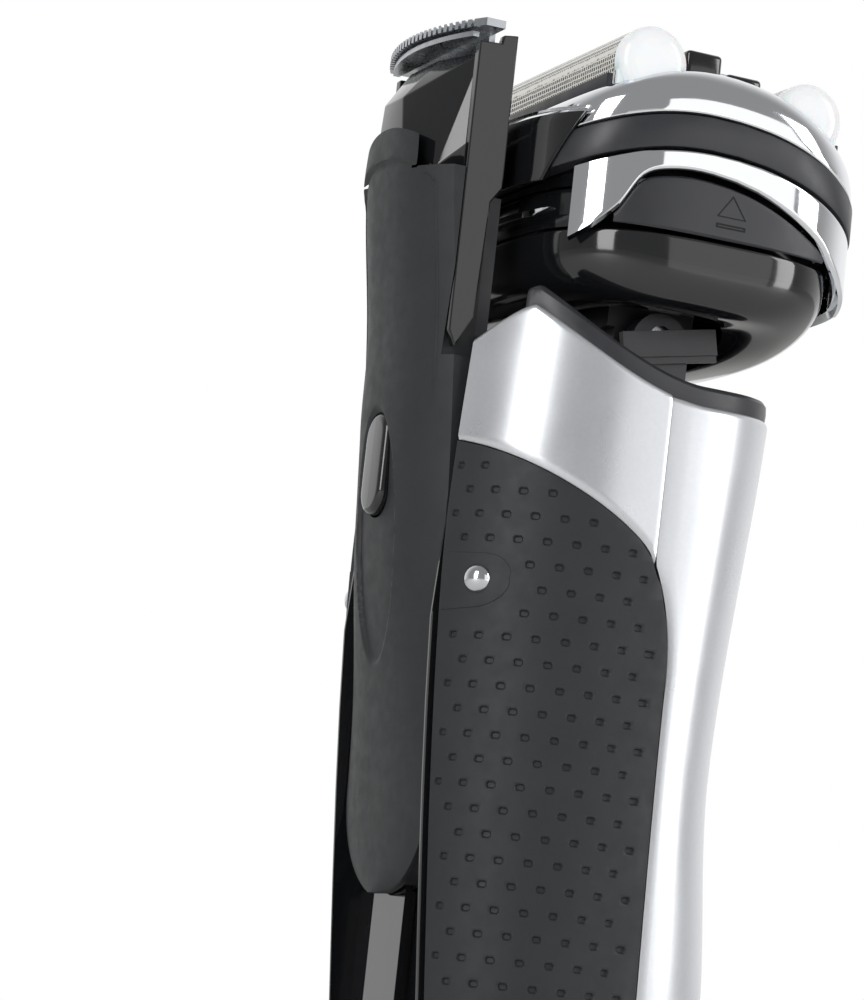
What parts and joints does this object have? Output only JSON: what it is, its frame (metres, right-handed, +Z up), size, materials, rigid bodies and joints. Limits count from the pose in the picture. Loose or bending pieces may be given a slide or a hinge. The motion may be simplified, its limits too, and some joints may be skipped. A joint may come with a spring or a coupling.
{
  "type": "electric shaver",
  "caption": "Foil shaver with a pivoting head, a lift-off cassette with two floating foils, dimpled rubber grips and a slide-out trimmer.",
  "frame": {"origin": "middle of the handle's section on the surface that the base stands on", "axes": "+Z up the handle to the head, -Y towards the power button, +X to the right seen from the trimmer's side turned round, so the trimmer is on +Y"},
  "size_m": [0.0562, 0.06, 0.1669],
  "materials": {
    "silver_paint": "satin",
    "grip_rubber": "matte",
    "pad_rubber": "matte",
    "gloss_black": "gloss",
    "satin_black": "satin",
    "chassis_plastic": "matte",
    "bright_chrome": "polished",
    "steel": "polished",
    "foil_steel": "satin",
    "cap_white": "gloss",
    "button_silver": "satin",
    "cell_wrap": "gloss",
    "board_green": "satin",
    "coil_copper": "gloss",
    "motor_iron": "satin"
  },
  "bodies": {
    "handle": {"front_panel": "silver_paint", "side_panel_left": "silver_paint", "side_panel_right": "silver_paint", "grip_left": "grip_rubber", "grip_right": "grip_rubber", "rear_cover": "gloss_black", "neck_collar": "satin_black", "neck_deck": "satin_black", "base_cap": "satin_black", "base_seal": "grip_rubber", "inlet_insert": "satin_black", "inlet_pins": "steel", "contact_studs": "steel", "inner_chassis": "chassis_plastic", "battery_cell": "cell_wrap", "battery_tabs": "steel", "circuit_board": "board_green", "display_board": "board_green", "display_window": "gloss_black", "power_switch": "satin_black", "power_ring": "bright_chrome", "lock_plate": "gloss_black", "housing_screws": "steel", "pivot_yokes": "satin_black", "pivot_pins": "steel"},
    "power_key": {"power_button": "button_silver"},
    "lock_key": {"lock_slider": "bright_chrome"},
    "head": {"head_pod": "satin_black", "head_hub": "satin_black", "head_frame": "bright_chrome", "head_deck": "gloss_black", "motor_coil": "coil_copper", "motor_core": "motor_iron", "drive_seals": "grip_rubber"},
    "drive_front": {"armature_front": "motor_iron"},
    "drive_rear": {"armature_rear": "motor_iron"},
    "release_key_left": {"release_left": "satin_black"},
    "release_key_right": {"release_right": "satin_black"},
    "cassette": {"cassette_frame": "bright_chrome", "cassette_band": "satin_black", "cassette_tray": "gloss_black", "rear_inlay": "gloss_black", "foil_springs_front": "steel", "foil_springs_rear": "steel"},
    "foil_unit_front": {"foil_front": "foil_steel", "foil_caps_front": "cap_white"},
    "foil_unit_rear": {"foil_rear": "foil_steel", "foil_caps_rear": "cap_white"},
    "blades_front": {"cutter_front": "steel"},
    "blades_rear": {"cutter_rear": "steel"},
    "guard": {"centre_guard": "gloss_black"},
    "blades_centre": {"centre_cutter": "steel"},
    "trimmer": {"trimmer_carriage": "satin_black", "trimmer_frame": "gloss_black", "trimmer_pad": "pad_rubber", "trimmer_comb": "steel", "trimmer_spring": "steel"},
    "trimmer_blades": {"trimmer_cutter": "steel"},
    "trimmer_key": {"trimmer_button": "gloss_black"}
  },
  "joints": [
    {"name": "head_tilt", "type": "hinge", "parent": "handle", "child": "head", "pos_m": [0, -0.005, 0.1294], "axis": [1, 0, 0], "range_deg": [-2, 20], "stiffness_Nm_per_rad": 0.06},
    {"name": "power_press", "type": "slide", "parent": "handle", "child": "power_key", "axis": [0, 1, 0], "range_m": [0, 0.0007], "stiffness_N_per_m": 900},
    {"name": "lock_slide", "type": "slide", "parent": "handle", "child": "lock_key", "axis": [1, 0, 0], "range_m": [-0.002, 0.002]},
    {"name": "release_left_press", "type": "slide", "parent": "head", "child": "release_key_left", "axis": [1, 0, 0], "range_m": [0, 0.0014], "stiffness_N_per_m": 900},
    {"name": "release_right_press", "type": "slide", "parent": "head", "child": "release_key_right", "axis": [-1, 0, 0], "range_m": [0, 0.0014], "stiffness_N_per_m": 900},
    {"name": "cassette_lift", "type": "slide", "parent": "head", "child": "cassette", "axis": [0, 0, 1], "range_m": [0, 0.012]},
    {"name": "foil_front_float", "type": "slide", "parent": "cassette", "child": "foil_unit_front", "axis": [0, 0, -1], "range_m": [0, 0.0024], "stiffness_N_per_m": 900, "deforming": ["foil_springs_front"]},
    {"name": "foil_rear_float", "type": "slide", "parent": "cassette", "child": "foil_unit_rear", "axis": [0, 0, -1], "range_m": [0, 0.0024], "stiffness_N_per_m": 900, "deforming": ["foil_springs_rear"]},
    {"name": "guard_float", "type": "slide", "parent": "cassette", "child": "guard", "axis": [0, 0, -1], "range_m": [0, 0.0016], "stiffness_N_per_m": 900},
    {"name": "drive_stroke", "type": "slide", "parent": "head", "child": "drive_front", "axis": [1, 0, 0], "range_m": [-0.0012, 0.0012], "stiffness_N_per_m": 400},
    {"name": "drive_stroke_rear", "type": "slide", "parent": "head", "child": "drive_rear", "axis": [1, 0, 0], "range_m": [-0.0012, 0.0012]},
    {"name": "cutter_stroke_front", "type": "slide", "parent": "foil_unit_front", "child": "blades_front", "axis": [1, 0, 0], "range_m": [-0.0012, 0.0012]},
    {"name": "cutter_stroke_rear", "type": "slide", "parent": "foil_unit_rear", "child": "blades_rear", "axis": [1, 0, 0], "range_m": [-0.0012, 0.0012]},
    {"name": "cutter_stroke_centre", "type": "slide", "parent": "guard", "child": "blades_centre", "axis": [1, 0, 0], "range_m": [-0.0012, 0.0012]},
    {"name": "trimmer_slide", "type": "slide", "parent": "handle", "child": "trimmer", "axis": [0, 0, 1], "range_m": [-0.024, 0]},
    {"name": "trimmer_press", "type": "slide", "parent": "trimmer", "child": "trimmer_key", "axis": [0, -1, 0], "range_m": [0, 0.001], "stiffness_N_per_m": 700},
    {"name": "trimmer_stroke", "type": "slide", "parent": "trimmer", "child": "trimmer_blades", "axis": [1, 0, 0], "range_m": [-0.001, 0.001]}
  ],
  "couplings": [
    {"joint": "drive_stroke_rear", "follows": "drive_stroke", "ratio": -1},
    {"joint": "cutter_stroke_front", "follows": "drive_stroke", "ratio": 1},
    {"joint": "cutter_stroke_rear", "follows": "drive_stroke", "ratio": -1},
    {"joint": "cutter_stroke_centre", "follows": "drive_stroke", "ratio": 1}
  ]
}
